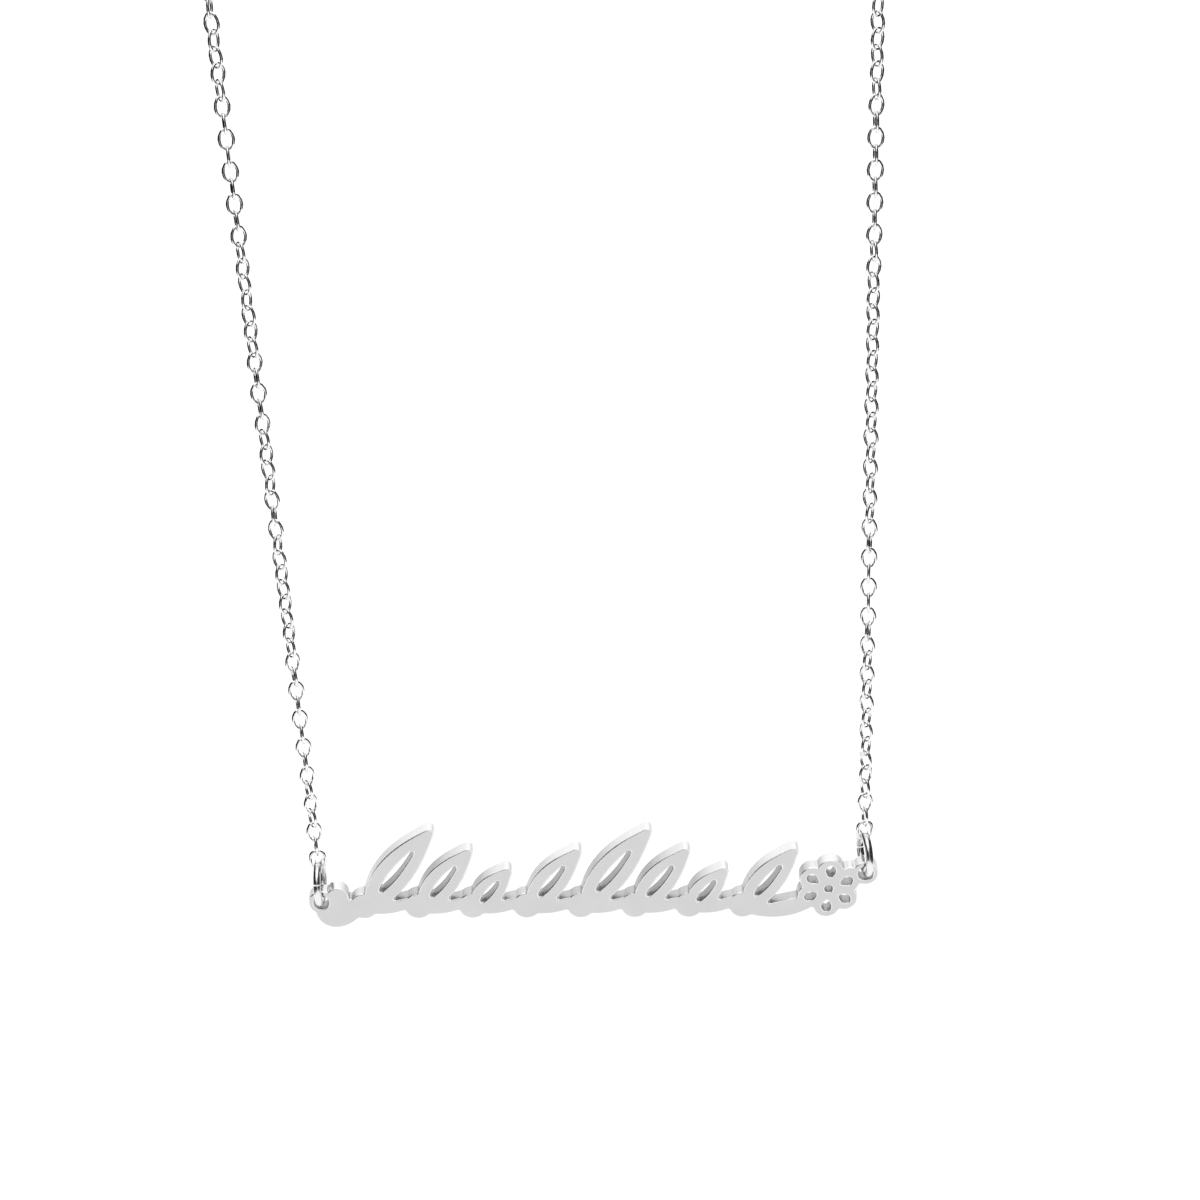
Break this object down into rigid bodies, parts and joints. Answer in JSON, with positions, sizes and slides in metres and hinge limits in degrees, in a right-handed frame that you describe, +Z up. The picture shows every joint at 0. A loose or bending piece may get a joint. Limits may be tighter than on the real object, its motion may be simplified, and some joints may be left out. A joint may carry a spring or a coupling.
{
  "type": "nameplate necklace",
  "caption": "Fine cable chain with a ring clasp that carries a pierced leaf-and-flower bar plate on two jump rings; hangs round a neck.",
  "frame": {"origin": "underside of the clasp, at the middle of the loop's top, where the necklace hangs", "axes": "+X to the viewer's right, +Y away from the viewer behind the plate, +Z up"},
  "size_m": [0.0546, 0.006, 0.1937],
  "materials": {
    "plate_steel": "polished silver-coloured steel, flat face with a rounded edge",
    "ring_steel": "bright drawn wire",
    "chain_steel": "bright drawn wire",
    "clasp_steel": "bright polished"
  },
  "bodies": {
    "chain": {"left_chain": "chain_steel", "right_chain": "chain_steel", "left_chain_back": "chain_steel", "right_chain_back": "chain_steel", "clasp": "clasp_steel", "end_ring": "clasp_steel"},
    "pendant": {"nameplate": "plate_steel", "left_jump_ring": "ring_steel", "right_jump_ring": "ring_steel"}
  },
  "joints": [
    {"name": "plate_swing", "type": "hinge", "parent": "chain", "child": "pendant", "pos_m": [0, 0, -0.18474], "axis": [1, 0, 0], "range_deg": [-45, 45]}
  ]
}
